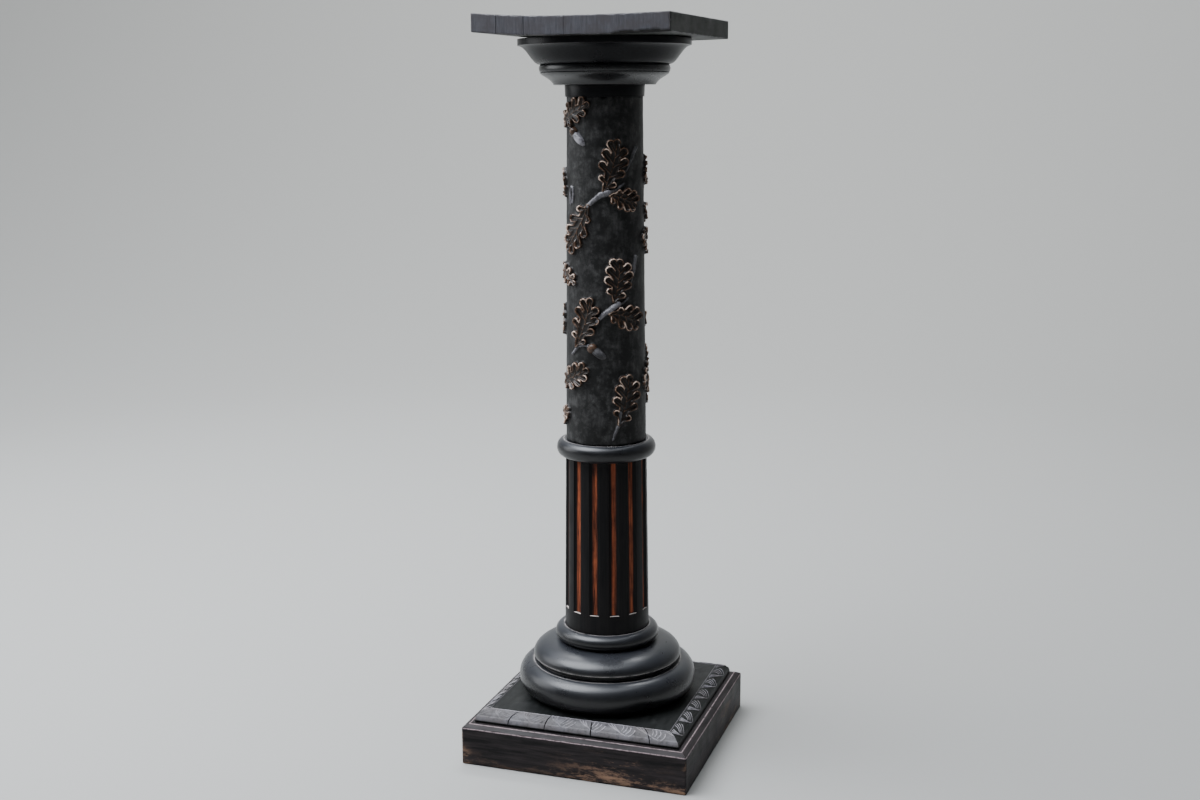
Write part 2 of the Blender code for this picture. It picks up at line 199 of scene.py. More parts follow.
# Each leaf: base and tip as (degrees, height), half-width, sideways bow
FRONT_LEAVES = (
    ((16, 0.855), (36, 0.929), 0.022, -0.004),
    ((24, 0.849), (66, 0.832), 0.018, 0.004),
    ((-6, 0.836), (-53, 0.768), 0.022, 0.005),
    ((-70, 0.952), (-3, 0.979), 0.019, 0.000),
    ((30, 0.695), (38, 0.757), 0.022, -0.003),
    ((23, 0.678), (70, 0.659), 0.020, 0.005),
    ((-27, 0.627), (-3, 0.702), 0.021, -0.003),
    ((-62, 0.568), (-6, 0.595), 0.019, 0.000),
    ((-84, 0.745), (-27, 0.718), 0.015, 0.003),
    ((36, 0.512), (52, 0.587), 0.022, -0.004),
    ((122, 0.760), (90, 0.795), 0.018, 0.000),
    ((122, 0.905), (98, 0.865), 0.014, 0.002),
    ((-70, 0.505), (-45, 0.532), 0.012, 0.000),
    ((110, 0.600), (88, 0.560), 0.018, 0.003),
)
# Each acorn: where its twig leaves the stem, the root of its cup, the nut's tip, and the nut's wear, which
# when negative paints a silver-grey highlight
FRONT_ACORNS = (
    ((-50, 0.954), (-38, 0.943), (-13, 0.920), -1.0),
    ((-24, 0.628), (-6, 0.630), (18, 0.612), -0.15),
)
# Each stem: its points as (degrees, height), its radius at the first and the last of them, and its wear,
# which when negative paints a silver-grey highlight
FRONT_STEMS = (
    (((-8, 0.834), (3, 0.843), (12, 0.850), (22, 0.853)), 0.0026, 0.0048, -0.7),
    (((22, 0.853), (36, 0.858), (46, 0.866)), 0.0030, 0.0012, -0.3),
    (((6, 0.667), (14, 0.676), (25, 0.684), (36, 0.692)), 0.0024, 0.0044, -0.6),
    (((36, 0.690), (44, 0.694), (52, 0.701)), 0.0026, 0.0010, -0.2),
    (((28, 0.490), (31, 0.500), (36, 0.512), (38, 0.530)), 0.0014, 0.0030, -0.2),
    (((50, 0.884), (59, 0.900), (68, 0.916)), 0.0012, 0.0026, -0.2),
    (((-36, 0.616), (-24, 0.628)), 0.0016, 0.0020, -0.7),
    (((-42, 0.836), (-43, 0.852), (-40, 0.861), (-36, 0.859), (-35, 0.850), (-37, 0.838)),
     0.0011, 0.0012, -0.6),
    (((55, 0.720), (62, 0.738), (66, 0.760)), 0.0014, 0.0026, -0.2),
)

# Floor: flat out to its bend, which curves up into a wall
FLOOR_RADIUS = 3.0
FLOOR_BEND_RADIUS = 4.0
WALL_TOP = 9.0
FLOOR_DROP = 0.0005

# Lights: name, place, target, diameter, watts and colour
DAYLIGHT = (0.90, 0.94, 1.0)
NEUTRAL = (0.96, 0.98, 1.0)
LIGHTS = (
    ("ceiling", (-1.2, -0.2, 3.1), (-1.2, -0.2, 0.0), 5.0, 185, DAYLIGHT),
    ("key", (-1.3, -0.7, 3.05), (0, 0, 0.3), 2.6, 185, DAYLIGHT),
    ("side", (-2.8, -0.5, 1.5), (0, 0, 0.6), 2.0, 34, NEUTRAL),
    ("backdrop", (-0.8, 3.0, 5.0), (-0.5, 6.5, 0.8), 4.0, 420, NEUTRAL),
)

# Camera: how it stands to the pedestal, and its lens
CAMERA_PLACE = (0.69495, -2.09328, 0.98210)
CAMERA_TURN = 18.607
CAMERA_PITCH = -11.373
CAMERA_ROLL = -0.304
CAMERA_LENS = 44.585
SENSOR_WIDTH = 36.0


def smoothstep(low, high, value):
    """0 at low, 1 at high and a smooth rise between them."""
    share = np.clip((value - low) / (high - low), 0.0, 1.0)
    return share * share * (3.0 - 2.0 * share)


def lattice_values(cells, seed):
    """A repeatable random value from -1 to 1 for each whole-numbered (n, 3) cell."""
    mixed = cells[:, 0] * 73856093 ^ cells[:, 1] * 19349663 ^ cells[:, 2] * 83492791 ^ seed * 2654435761
    mixed = (mixed ^ (mixed >> 13)) * 1274126177 & 0xFFFFFFFF
    mixed = (mixed ^ (mixed >> 16)) & 0xFFFF
    return mixed / 32767.5 - 1.0


def smooth_noise(points, size, seed):
    """Smooth random values from -1 to 1 at (n, 3) points, in lumps of about that size."""
    scaled = points / size
    corner = np.floor(scaled).astype(np.int64)
    part = scaled - corner
    part = part * part * (3.0 - 2.0 * part)
    total = np.zeros(len(points))
    for offset in np.ndindex(2, 2, 2):
        weight = np.ones(len(points))
        for axis in range(3):
            weight *= part[:, axis] if offset[axis] else 1.0 - part[:, axis]
        total += weight * lattice_values(corner + np.array(offset), seed)
    return total


# Meshes

def grid_faces(rows, columns, wrap_rows=False):
    """Quads between the neighbours in rings of points that are numbered ring by ring."""
    row, column = np.meshgrid(np.arange(rows if wrap_rows else rows - 1), np.arange(columns), indexing="ij")
    next_row = (row + 1) % rows
    next_column = (column + 1) % columns
    corners = [
        row * columns + column,
        row * columns + next_column,
        next_row * columns + next_column,
        next_row * columns + column,
    ]
    return np.stack(corners, axis=-1).reshape(-1, 4).tolist()


def capped_grid(rows, columns):
    """The faces of a tube of points that are numbered ring by ring, closed at both ends."""
    faces = grid_faces(rows, columns)
    faces.append(list(range(columns))[::-1])
    faces.append(list(range((rows - 1) * columns, rows * columns)))
    return faces


def around(turns, radius, heights):
    """Points at each turn, in radians, for each height. radius is (heights, turns) or (heights, 1)."""
    up = np.repeat(heights[:, None], len(turns), axis=1)
    return np.stack([np.sin(turns) * radius, -np.cos(turns) * radius, up], axis=-1).reshape(-1, 3)


def new_piece(name, points, faces, wear, material, node, sharp=40):
    """A smooth-shaded piece that rides on the body and stands for its CAD node. sharp is in degrees."""
    mesh = bpy.data.meshes.new(name)
    mesh.from_pydata(np.asarray(points).tolist(), [], faces)
    mesh.validate()
    attribute = mesh.attributes.new("wear", "FLOAT", "POINT")
    attribute.data.foreach_set("value", np.asarray(wear, np.float32))
    mesh.shade_smooth()
    mesh.set_sharp_from_angle(angle=math.radians(sharp))
    mesh.materials.append(material)
    piece = bpy.data.objects.new(name, mesh)
    bpy.context.scene.collection.objects.link(piece)
    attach(piece, BODY)
    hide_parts(node)
    return piece


def soften(outline, radius, steps=4):
    """Round the corners of a closed anticlockwise (across, up) outline: (across, up, wear) points."""
    softened = []
    for index, point in enumerate(outline):
        here = Vector(point)
        back = Vector(outline[index - 1]) - here
        ahead = Vector(outline[(index + 1) % len(outline)]) - here
        if (-back).angle(ahead) < math.radians(SOFT_ANGLE):
            softened.append((here.x, here.y, 0.0))
            continue
        convex = back.x * ahead.y - back.y * ahead.x < 0
        reach = min(radius, 0.45 * back.length, 0.45 * ahead.length)
        start = here + back.normalized() * reach
        end = here + ahead.normalized() * reach
        for step in range(steps + 1):
            share = step / steps
            place = start * (1 - share) ** 2 + here * 2 * share * (1 - share) + end * share ** 2
            softened.append((place.x, place.y, math.sin(math.pi * share) if convex else 0.0))
    return softened


# Materials. Each mesh carries a wear from -1 to 1 at its points, which most of them read. On the carved shaft
# the wear also holds painted highlights on stems, nuts and leaf rims

def node_in(tree, kind, **settings):
    """A new shader node of that kind."""
    node = tree.nodes.new(kind)
    for key, value in settings.items():
        setattr(node, key, value)
    return node


def stretched(tree, scale=(1.0, 1.0, 1.0)):
    """Object coordinates, squeezed along each axis, so that a noise is drawn out along the grain."""
    place = node_in(tree, "ShaderNodeTexCoord")
    mapping = node_in(tree, "ShaderNodeMapping")
    mapping.inputs["Scale"].default_value = scale
    tree.links.new(place.outputs["Object"], mapping.inputs["Vector"])
    return mapping.outputs["Vector"]


def noise_texture(tree, vector, scale, detail=4.0, roughness=0.55):
    """A noise, mostly between 0.3 and 0.7. A higher scale makes finer lumps."""
    noise = node_in(tree, "ShaderNodeTexNoise")
    noise.inputs["Scale"].default_value = scale
    noise.inputs["Detail"].default_value = detail
    noise.inputs["Roughness"].default_value = roughness
    tree.links.new(vector, noise.inputs["Vector"])
    return noise.outputs["Fac"]


def remap(tree, value, from_low, from_high, to_low=0.0, to_high=1.0):
    """A value moved from one range to another, and kept inside it."""
    ranged = node_in(tree, "ShaderNodeMapRange")
    ranged.inputs["From Min"].default_value = from_low
    ranged.inputs["From Max"].default_value = from_high
    ranged.inputs["To Min"].default_value = to_low
    ranged.inputs["To Max"].default_value = to_high
    tree.links.new(value, ranged.inputs["Value"])
    return ranged.outputs["Result"]


def maths(tree, operation, *values):
    """The result of a sum on one or two sockets."""
    node = node_in(tree, "ShaderNodeMath", operation=operation)
    for socket, value in zip(node.inputs, values):
        tree.links.new(value, socket)
    return node.outputs["Value"]


def broken_up(tree, share, noise, low, high, least=0.0):
    """A share that is whole where the noise is over high, and only least of it where it is under low."""
    return maths(tree, "MULTIPLY", share, remap(tree, noise, low, high, least, 1.0))


def mixed_colour(tree, share, first, second):
    """One colour passing into another as share goes from 0 to 1. Either may be a colour or a socket."""
    mix = node_in(tree, "ShaderNodeMix", data_type="RGBA")
    tree.links.new(share, mix.inputs["Factor"])
    for name, value in (("A", first), ("B", second)):
        socket = [s for s in mix.inputs if s.name == name and s.type == "RGBA"][0]
        if isinstance(value, tuple):
            socket.default_value = (*value, 1.0)
        else:
            tree.links.new(value, socket)
    return [s for s in mix.outputs if s.type == "RGBA"][0]


def bumped(tree, height, strength, distance, under=None):
    """A surface normal tilted by a height, on top of another such normal if there is one."""
    bump = node_in(tree, "ShaderNodeBump")
    bump.inputs["Strength"].default_value = strength
    bump.inputs["Distance"].default_value = distance
    tree.links.new(height, bump.inputs["Height"])
    if under is not None:
        tree.links.new(under, bump.inputs["Normal"])
    return bump.outputs["Normal"]


def wear_in(tree):
    """The wear at the mesh's points."""
    return node_in(tree, "ShaderNodeAttribute", attribute_name="wear").outputs["Fac"]


def facing(tree, axis):
    """How squarely the surface faces along the X, Y or Z axis, from -1 to 1."""
    place = node_in(tree, "ShaderNodeTexCoord")
    parts = node_in(tree, "ShaderNodeSeparateXYZ")
    tree.links.new(place.outputs["Normal"], parts.inputs["Vector"])
    return parts.outputs[axis]


def new_material(name):
    """A material, its node tree and its shader."""
    material = bpy.data.materials.new(name)
    material.use_nodes = True
    tree = material.node_tree
    return material, tree, tree.nodes["Principled BSDF"]


def join_shader(tree, shader, colour, roughness, normal, gloss=0.5):
    """Lead the colour, roughness and normal to the shader. gloss is how strongly it mirrors."""
    tree.links.new(colour, shader.inputs["Base Color"])
    tree.links.new(roughness, shader.inputs["Roughness"])
    tree.links.new(normal, shader.inputs["Normal"])
    shader.inputs["Specular IOR Level"].default_value = gloss


def ebonised_wood(name, gloss):
    """Black-stained, waxed wood with a painted bluish sheen where it faces up, its edges rubbed grey."""
    material, tree, shader = new_material(name)
    even = stretched(tree)
    fibres = noise_texture(tree, stretched(tree, (1.0, 1.0, 3.0)), 220.0, detail=6.0, roughness=0.65)
    clouds = noise_texture(tree, even, 22.0, detail=5.0, roughness=0.6)
    patchy = noise_texture(tree, even, 70.0, detail=5.0, roughness=0.7)
    tone = broken_up(tree, remap(tree, fibres, 0.35, 0.70), clouds, 0.30, 0.70, least=0.3)
    colour = mixed_colour(tree, tone, (0.0035, 0.0035, 0.0040), (0.0110, 0.0110, 0.0130))
    # Painted sheen: surfaces that face up turn a pale blue-grey, standing for the sky's reflection
    painted_sky_sheen = broken_up(tree, remap(tree, facing(tree, "Z"), 0.20, 0.85), clouds, 0.30, 0.70, least=0.6)
    colour = mixed_colour(tree, painted_sky_sheen, colour, (0.024, 0.026, 0.031))
    rubbed = broken_up(tree, wear_in(tree), patchy, 0.30, 0.50)
    colour = mixed_colour(tree, rubbed, colour, (0.34, 0.32, 0.31))
    roughness = remap(tree, clouds, 0.30, 0.70, 0.25, 0.36)
    join_shader(tree, shader, colour, roughness, bumped(tree, fibres, 0.16, 0.0004), gloss)
    return material


def carved_wood(name):
    """The oak sprays and their punched ground: black, with raised edges rubbed through to bronze brown, and
    whitish highlights painted on the rims that face the light.

    A negative wear paints a stem or nut with a silver-grey highlight.
    """
    material, tree, shader = new_material(name)
    even = stretched(tree)
    mottle = noise_texture(tree, even, 55.0, detail=7.0, roughness=0.75)
    punched = noise_texture(tree, even, 420.0, detail=3.0, roughness=0.6)
    patchy = noise_texture(tree, even, 75.0, detail=4.0, roughness=0.6)
    streaks = noise_texture(tree, stretched(tree, (1.0, 1.0, 0.25)), 160.0, detail=5.0, roughness=0.6)
    wear = wear_in(tree)
    tone = broken_up(tree, remap(tree, mottle, 0.44, 0.62), streaks, 0.35, 0.65, least=0.2)
    colour = mixed_colour(tree, tone, (0.003, 0.003, 0.003), (0.048, 0.047, 0.047))
    colour = mixed_colour(tree, remap(tree, wear, 0.05, 0.20), colour, (0.012, 0.008, 0.006))
    brown = broken_up(tree, remap(tree, wear, 0.30, 0.80), patchy, 0.38, 0.56, least=0.25)
    colour = mixed_colour(tree, brown, colour, (0.200, 0.115, 0.075))
    # Partly pale rubbed wood and partly painted highlight: whitish glints where the wear is highest, mostly
    # on rims facing the light
    bright = broken_up(tree, remap(tree, wear, 0.55, 0.85), patchy, 0.48, 0.56)
    colour = mixed_colour(tree, bright, colour, (0.70, 0.55, 0.46))
    # Painted highlight: a negative wear turns stems and nuts silver grey, standing for the sky mirrored in
    # them
    silver = broken_up(tree, remap(tree, wear, 0.0, -1.0), mottle, 0.40, 0.56, least=0.35)
    colour = mixed_colour(tree, silver, colour, (0.32, 0.31, 0.34))
    roughness = remap(tree, maths(tree, "ABSOLUTE", wear), 0.0, 0.35, 0.55, 0.22)
    normal = bumped(tree, punched, 0.5, 0.0005)
    normal = bumped(tree, mottle, 0.3, 0.0012, normal)
    join_shader(tree, shader, colour, roughness, normal, gloss=0.27)
    return material


def fluted_wood(name):
    """Black fillets, and flutes stained red-brown with darker streaks running down them.

    The wear is the share of red stain, kept off the flutes' walls partly as painted shade. A negative wear is
    the pale floor of a flute.
    """
    material, tree, shader = new_material(name)
    fibres = noise_texture(tree, stretched(tree, (1.0, 1.0, 0.05)), 300.0, detail=6.0, roughness=0.65)
    clouds = noise_texture(tree, stretched(tree), 26.0, detail=5.0, roughness=0.6)
    wear = wear_in(tree)
    black = remap(tree, fibres, 0.35, 0.70)
    black = mixed_colour(tree, black, (0.0025, 0.0025, 0.0030), (0.008, 0.007, 0.007))
    red = mixed_colour(tree, remap(tree, fibres, 0.36, 0.60), (0.026, 0.007, 0.004), (0.32, 0.080, 0.033))
    stained = broken_up(tree, remap(tree, wear, 0.0, 1.0), clouds, 0.30, 0.60, least=0.35)
    colour = mixed_colour(tree, stained, black, red)
    pale = broken_up(tree, remap(tree, wear, -0.5, -1.5), clouds, 0.40, 0.52, least=0.15)
    colour = mixed_colour(tree, pale, colour, (0.60, 0.54, 0.50))
    roughness = remap(tree, clouds, 0.3, 0.7, 0.34, 0.50)
    join_shader(tree, shader, colour, roughness, bumped(tree, fibres, 0.3, 0.0004), gloss=0.13)
    return material


def board_top_wood(name):
    """Ebonised board whose end grain, front and back, is rubbed to a mottled slate grey.

    A negative wear is the dark wood where a sliver has broken off.
    """
    material, tree, shader = new_material(name)
    even = stretched(tree)
    fibres = noise_texture(tree, stretched(tree, (1.0, 0.08, 1.0)), 240.0, detail=6.0, roughness=0.65)
    streaks = noise_texture(tree, stretched(tree, (1.0, 1.0, 0.10)), 330.0, detail=5.0, roughness=0.7)
    clouds = noise_texture(tree, even, 34.0, detail=5.0, roughness=0.6)
    patchy = noise_texture(tree, even, 90.0, detail=5.0, roughness=0.7)
    wear = wear_in(tree)
    end_grain = remap(tree, maths(tree, "ABSOLUTE", facing(tree, "Y")), 0.55, 0.80)
    dark = mixed_colour(tree, remap(tree, fibres, 0.35, 0.70), (0.006, 0.007, 0.006), (0.020, 0.023, 0.020))
    slate = mixed_colour(tree, remap(tree, streaks, 0.36, 0.60), (0.040, 0.040, 0.046), (0.074, 0.075, 0.087))
    slate = mixed_colour(tree, remap(tree, clouds, 0.38, 0.58, 0.0, 0.8), slate, (0.048, 0.044, 0.048))
    colour = mixed_colour(tree, end_grain, dark, slate)
    rubbed = broken_up(tree, remap(tree, wear, 0.2, 1.0), patchy, 0.42, 0.62)
    colour = mixed_colour(tree, rubbed, colour, (0.150, 0.140, 0.145))
    colour = mixed_colour(tree, remap(tree, wear, -0.1, -0.9), colour, (0.008, 0.007, 0.007))
    roughness = remap(tree, clouds, 0.30, 0.70, 0.45, 0.62)
    normal = bumped(tree, streaks, 0.20, 0.0004)
    normal = bumped(tree, fibres, 0.25, 0.0004, normal)
    join_shader(tree, shader, colour, roughness, normal, gloss=0.22)
    return material


def border_wood(name):
    """Ebonised board whose carved front edge is rubbed to a lilac grey, which is partly a painted highlight.
    """
    material, tree, shader = new_material(name)
    even = stretched(tree)
    fibres = noise_texture(tree, stretched(tree, (1.0, 0.10, 1.0)), 220.0, detail=6.0, roughness=0.65)
    clouds = noise_texture(tree, even, 30.0, detail=5.0, roughness=0.6)
    patchy = noise_texture(tree, even, 130.0, detail=5.0, roughness=0.7)
    dark = mixed_colour(tree, remap(tree, fibres, 0.35, 0.70), (0.003, 0.0035, 0.0035), (0.012, 0.013, 0.013))
    # The lilac grey is partly wear and partly painted highlight
    lilac = mixed_colour(tree, remap(tree, clouds, 0.35, 0.62), (0.340, 0.330, 0.365), (0.260, 0.240, 0.248))
    rubbed = broken_up(tree, wear_in(tree), patchy, 0.30, 0.52, least=0.45)
    colour = mixed_colour(tree, rubbed, dark, lilac)
    roughness = remap(tree, clouds, 0.30, 0.70, 0.36, 0.52)
    join_shader(tree, shader, colour, roughness, bumped(tree, fibres, 0.4, 0.0004), gloss=0.16)
    return material


def plinth_wood(name, grain):
    """Near-black stained wood. Worn edges turn grey, and a negative wear shows the brown wood itself."""
    material, tree, shader = new_material(name)
    even = stretched(tree)
    blotchy = stretched(tree, tuple(math.sqrt(share) for share in grain))
    fibres = noise_texture(tree, stretched(tree, grain), 190.0, detail=7.0, roughness=0.7)
    bands = noise_texture(tree, blotchy, 60.0, detail=8.0, roughness=0.75)
    clouds = noise_texture(tree, even, 24.0, detail=5.0, roughness=0.6)
    patchy = noise_texture(tree, even, 140.0, detail=5.0, roughness=0.7)
    wear = wear_in(tree)
    tone = remap(tree, fibres, 0.36, 0.68)
    colour = mixed_colour(tree, tone, (0.005, 0.0045, 0.005), (0.030, 0.024, 0.025))
    bare = broken_up(tree, remap(tree, wear, 0.0, -0.8), bands, 0.49, 0.57)
    brown = mixed_colour(tree, remap(tree, bands, 0.50, 0.66), (0.070, 0.045, 0.036), (0.260, 0.155, 0.100))
    colour = mixed_colour(tree, bare, colour, brown)
    rubbed = broken_up(tree, remap(tree, wear, 0.1, 0.9), patchy, 0.36, 0.54, least=0.25)
    colour = mixed_colour(tree, rubbed, colour, (0.26, 0.20, 0.21))
    roughness = remap(tree, clouds, 0.3, 0.7, 0.42, 0.60)
    join_shader(tree, shader, colour, roughness, bumped(tree, fibres, 0.5, 0.0004), gloss=0.16)
    return material


def raw_wood(name):
    """Unstained wood, as inside the plinth."""
    material, tree, shader = new_material(name)
    fibres = noise_texture(tree, stretched(tree, (1.0, 1.0, 0.1)), 180.0, detail=6.0, roughness=0.6)
    colour = mixed_colour(tree, fibres, (0.16, 0.09, 0.045), (0.32, 0.20, 0.10))
    roughness = remap(tree, fibres, 0.3, 0.7, 0.65, 0.8)
    join_shader(tree, shader, colour, roughness, bumped(tree, fibres, 0.4, 0.0005))
    return material


def dull_steel(name):
    """Screws that have lost their shine."""
    material, tree, shader = new_material(name)
    specks = noise_texture(tree, stretched(tree), 700.0)
    colour = mixed_colour(tree, specks, (0.16, 0.14, 0.12), (0.40, 0.39, 0.37))
    tree.links.new(colour, shader.inputs["Base Color"])
    tree.links.new(remap(tree, specks, 0.3, 0.7, 0.35, 0.6), shader.inputs["Roughness"])
    shader.inputs["Metallic"].default_value = 1.0
    return material


# The square top board

def box_lines(half, radius, steps, extra=()):
    """Grid lines across a box from -half to half, closer together at its rounded ends."""
    bend = [half - radius + radius * math.sin(math.radians(a)) for a in (0, 30, 60, 90)]
    inner = np.linspace(radius - half, half - radius, steps)
    return np.unique(np.round(np.concatenate([inner, bend, np.negative(bend), list(extra)]), 6))


def rounded_box(lines, radius):
    """A closed box with rounded edges: its points, its faces and how near each point is to an edge."""
    halves = np.array([line[-1] for line in lines])
    index = {}
    points = []
    faces = []

    def corner(i, j, k):
        key = (i, j, k)
        if key not in index:
            index[key] = len(points)
            points.append((lines[0][i], lines[1][j], lines[2][k]))
        return index[key]

    counts = [len(line) for line in lines]
    for axis in range(3):
        first, second = (axis + 1) % 3, (axis + 2) % 3
        for end in (0, counts[axis] - 1):
            for a in range(counts[first] - 1):
                for b in range(counts[second] - 1):
                    quad = []
                    for da, db in ((0, 0), (1, 0), (1, 1), (0, 1)):
                        spot = [0, 0, 0]
                        spot[axis], spot[first], spot[second] = end, a + da, b + db
                        quad.append(corner(*spot))
                    faces.append(quad if end else quad[::-1])
    points = np.array(points)
    inner = np.clip(points, radius - halves, halves - radius)
    away = points - inner
    length = np.linalg.norm(away, axis=1)
    bend = np.sort(np.abs(away), axis=1)[:, 1] / radius
    scale = np.where(length > 0, radius / np.maximum(length, 1e-9), 0.0)
    points = inner + away * np.where(bend > 0, scale, 1.0)[:, None]
    return points, faces, np.clip(bend * 1.6, 0.0, 1.0)


def open_cracks(points, halves):
    """Cut drying cracks that run along Y in from the front and back ends of the top board."""
    for across, width, depth, length, end in TOP_CRACKS:
        near = np.clip(1.0 - np.abs(points[:, 0] - across) / width, 0.0, 1.0)
        from_end = halves[1] - end * points[:, 1]
        fade = np.clip(1.0 - from_end / length, 0.0, 1.0)
        face = from_end < CRACK_SKIN
        points[:, 1] -= np.where(face, end * depth * near, 0.0)
        lid = np.abs(points[:, 2]) > halves[2] - CRACK_SKIN
        points[:, 2] -= np.where(lid, np.sign(points[:, 2]) * depth * 0.5 * near * fade, 0.0)


def chip_lower_edge(points, halves, start, end, height):
    """Break a long sliver off the lower front edge of a board, between two places along it."""
    share = np.clip((points[:, 0] - start) / (end - start), 0.0, 1.0)
    ragged = 0.75 + 0.35 * smooth_noise(points * np.array((1.0, 0.0, 0.0)), 0.009, 21)
    reach = height * np.sqrt(np.clip(np.sin(math.pi * share), 0.0, 1.0)) * ragged
    above = points[:, 2] + halves[2]
    broken = np.clip(1.0 - above / np.maximum(reach, 1e-6), 0.0, 1.0) * (points[:, 1] < -halves[1] + 0.003)
    points[:, 1] += CHIP_DEPTH * np.sqrt(broken)
    return broken


def make_top_board(material):
    """The cupped board, with cracks in its end grain, a broken lower edge and softened corners."""
    low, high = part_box("top_board")
    turn = math.radians(TOP_TURN)
    half = high.x / (math.cos(turn) + abs(math.sin(turn))) - TOP_INSIDE
    lines_at_cracks = [across + side * wide for across, wide, *_ in TOP_CRACKS for side in (-1, 0, 1)]
    radius = TOP_EDGE_RADIUS
    lines = [
        box_lines(half, radius, 130, lines_at_cracks),
        box_lines(half, radius, 50),
        box_lines(TOP_THICK / 2, radius, 16),
    ]
    points, faces, edge = rounded_box(lines, radius)
    halves = (half, half, TOP_THICK / 2)
    open_cracks(points, halves)
    broken = np.zeros(len(points))
    for start, end, height in TOP_CHIPS:
        broken = np.maximum(broken, chip_lower_edge(points, halves, start, end, height))
    nicks = smooth_noise(points, 0.010, 3) + 0.5 * smooth_noise(points, 0.004, 4)
    points -= np.sign(points) * (edge * np.clip(nicks, 0.0, 1.0) * 0.0008)[:, None]
    flat = half / TOP_STRETCHES
    bend = np.clip((np.abs(points[:, 0]) - flat) / (half - flat), 0.0, 1.0) ** 2
    lift = np.where(points[:, 0] < 0, TOP_LIFT_LEFT, TOP_LIFT_RIGHT)
    points[:, 2] += 0.98 * lift * bend + low.z + TOP_THICK / 2
    spin = np.array(Matrix.Rotation(turn, 3, "Z"))
    points = points @ spin.T
    wear = np.where(broken > 0.05, -1.0, edge)
    new_piece("cupped_top_board", points, faces, wear, material, "top_board", sharp=60)


# The turned pieces

def turned_piece(name, side, material, node, edge, rub=1.0, lip=None):
    """A bored turning. side is its outer outline from the bottom up, and edge its corners' radius.

    rub is how worn its corners are, and a lip is a (radius, height) place that is always worn.
    """
    outline = side + [(BORE_RADIUS, side[-1][1]), (BORE_RADIUS, side[0][1])]
    outline = np.array(soften(outline, edge))
    radius, height, wear = outline.T
    wear = wear * rub
    if lip:
        distance = np.hypot(radius - lip[0], height - lip[1])
        wear = np.maximum(wear, np.exp(-(distance / LIP_WEAR_REACH) ** 2))
    turns = np.linspace(0, 2 * math.pi, TURNED_SEGMENTS, endpoint=False)
    points = around(turns, radius[:, None], height)
    # Wood shrinks across its grain, so no old turning is quite round
    points[:, 1] *= 1.0 - SHRINKAGE * np.cos(np.arctan2(points[:, 0], points[:, 1])) ** 2
    faces = grid_faces(len(outline), TURNED_SEGMENTS, wrap_rows=True)
    return new_piece(name, points, faces, np.repeat(wear, TURNED_SEGMENTS), material, node)


def half_round(flat_radius, radius, bottom, top, steps):
    """The outer side of a bead from the bottom up, from flat_radius out to radius and back."""
    middle = (bottom + top) / 2
    bends = np.radians(np.linspace(-90, 90, steps + 1))
    reach = radius - flat_radius
    return [(flat_radius + reach * math.cos(a), middle + (top - middle) * math.sin(a)) for a in bends]


def cyma(start, start_pull, end_pull, end, steps=28):
    """Points on a cubic curve from one (radius, height) point to another, pulled towards two more."""
    share = np.linspace(0.0, 1.0, steps + 1)[:, None]
    rest = 1.0 - share
    corners = [np.array(corner) for corner in (start, start_pull, end_pull, end)]
    curve = rest ** 3 * corners[0] + 3 * rest ** 2 * share * corners[1]
    curve = curve + 3 * rest * share ** 2 * corners[2] + share ** 3 * corners[3]
    return [tuple(point) for point in curve.tolist()]


def crisp_lip(radius, top, inner_radius, sink):
    """The inner side of a ring's top edge: a lip that stands above a shallow groove."""
    return [
        (radius - 0.4 * sink, top - 0.1 * sink),
        (radius - 1.1 * sink, top - sink),
        (inner_radius, top - sink),
        (inner_radius - 0.001, top),
    ]


def make_capital(dull, waxed):
    """The two discs under the top board and the plain ring under them."""
    low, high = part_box("capital_upper_disc")
    foot = CAP_FOOT_SHARE * high.x
    fillet = high.z - CAP_FILLET_HEIGHT
    side = cyma((foot, low.z), (foot + CAP_FOOT_PULL, low.z), (high.x - CAP_RIM_PULL, fillet),
                (high.x, fillet))
    side.append((high.x, high.z))
    turned_piece("turned_capital_upper_disc", side, dull, "capital_upper_disc", edge=0.0005, rub=0.2)

    low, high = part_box("capital_lower_disc")
    foot = LOWER_DISC_FOOT_SHARE * high.x
    top = LOWER_DISC_TOP_SHARE * high.x
    bead = high.z - BEAD_HEIGHT
    side = cyma((foot, low.z), (foot + LOWER_DISC_FOOT_PULL[0], low.z + LOWER_DISC_FOOT_PULL[1]),
                (top - LOWER_DISC_TOP_PULL[0], bead - LOWER_DISC_TOP_PULL[1]), (top, bead - LOWER_DISC_STEP))
    side += half_round(BEAD_SHARE * high.x, high.x, bead, high.z, BEAD_STEPS)
    turned_piece("turned_capital_lower_disc", side, waxed, "capital_lower_disc", edge=0.0003, rub=0.1)

    low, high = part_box("neck_ring")
    side = [(NECK_FOOT_SHARE * high.x, low.z), (high.x, high.z)]
    turned_piece("turned_neck_ring", side, dull, "neck_ring", edge=0.0004, rub=0.0)


def make_rings(material):
    """The half-round rings at the two ends of the fluted shaft."""
    for node, (share, inner_radius) in RINGS.items():
        low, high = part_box(node)
        lip = (high.x * share, high.z)
        side = half_round(lip[0], high.x, low.z, high.z, 28) + crisp_lip(*lip, inner_radius, RING_GROOVE)
        turned_piece(f"turned_{node}", side, material, node, edge=0.0004, lip=lip)


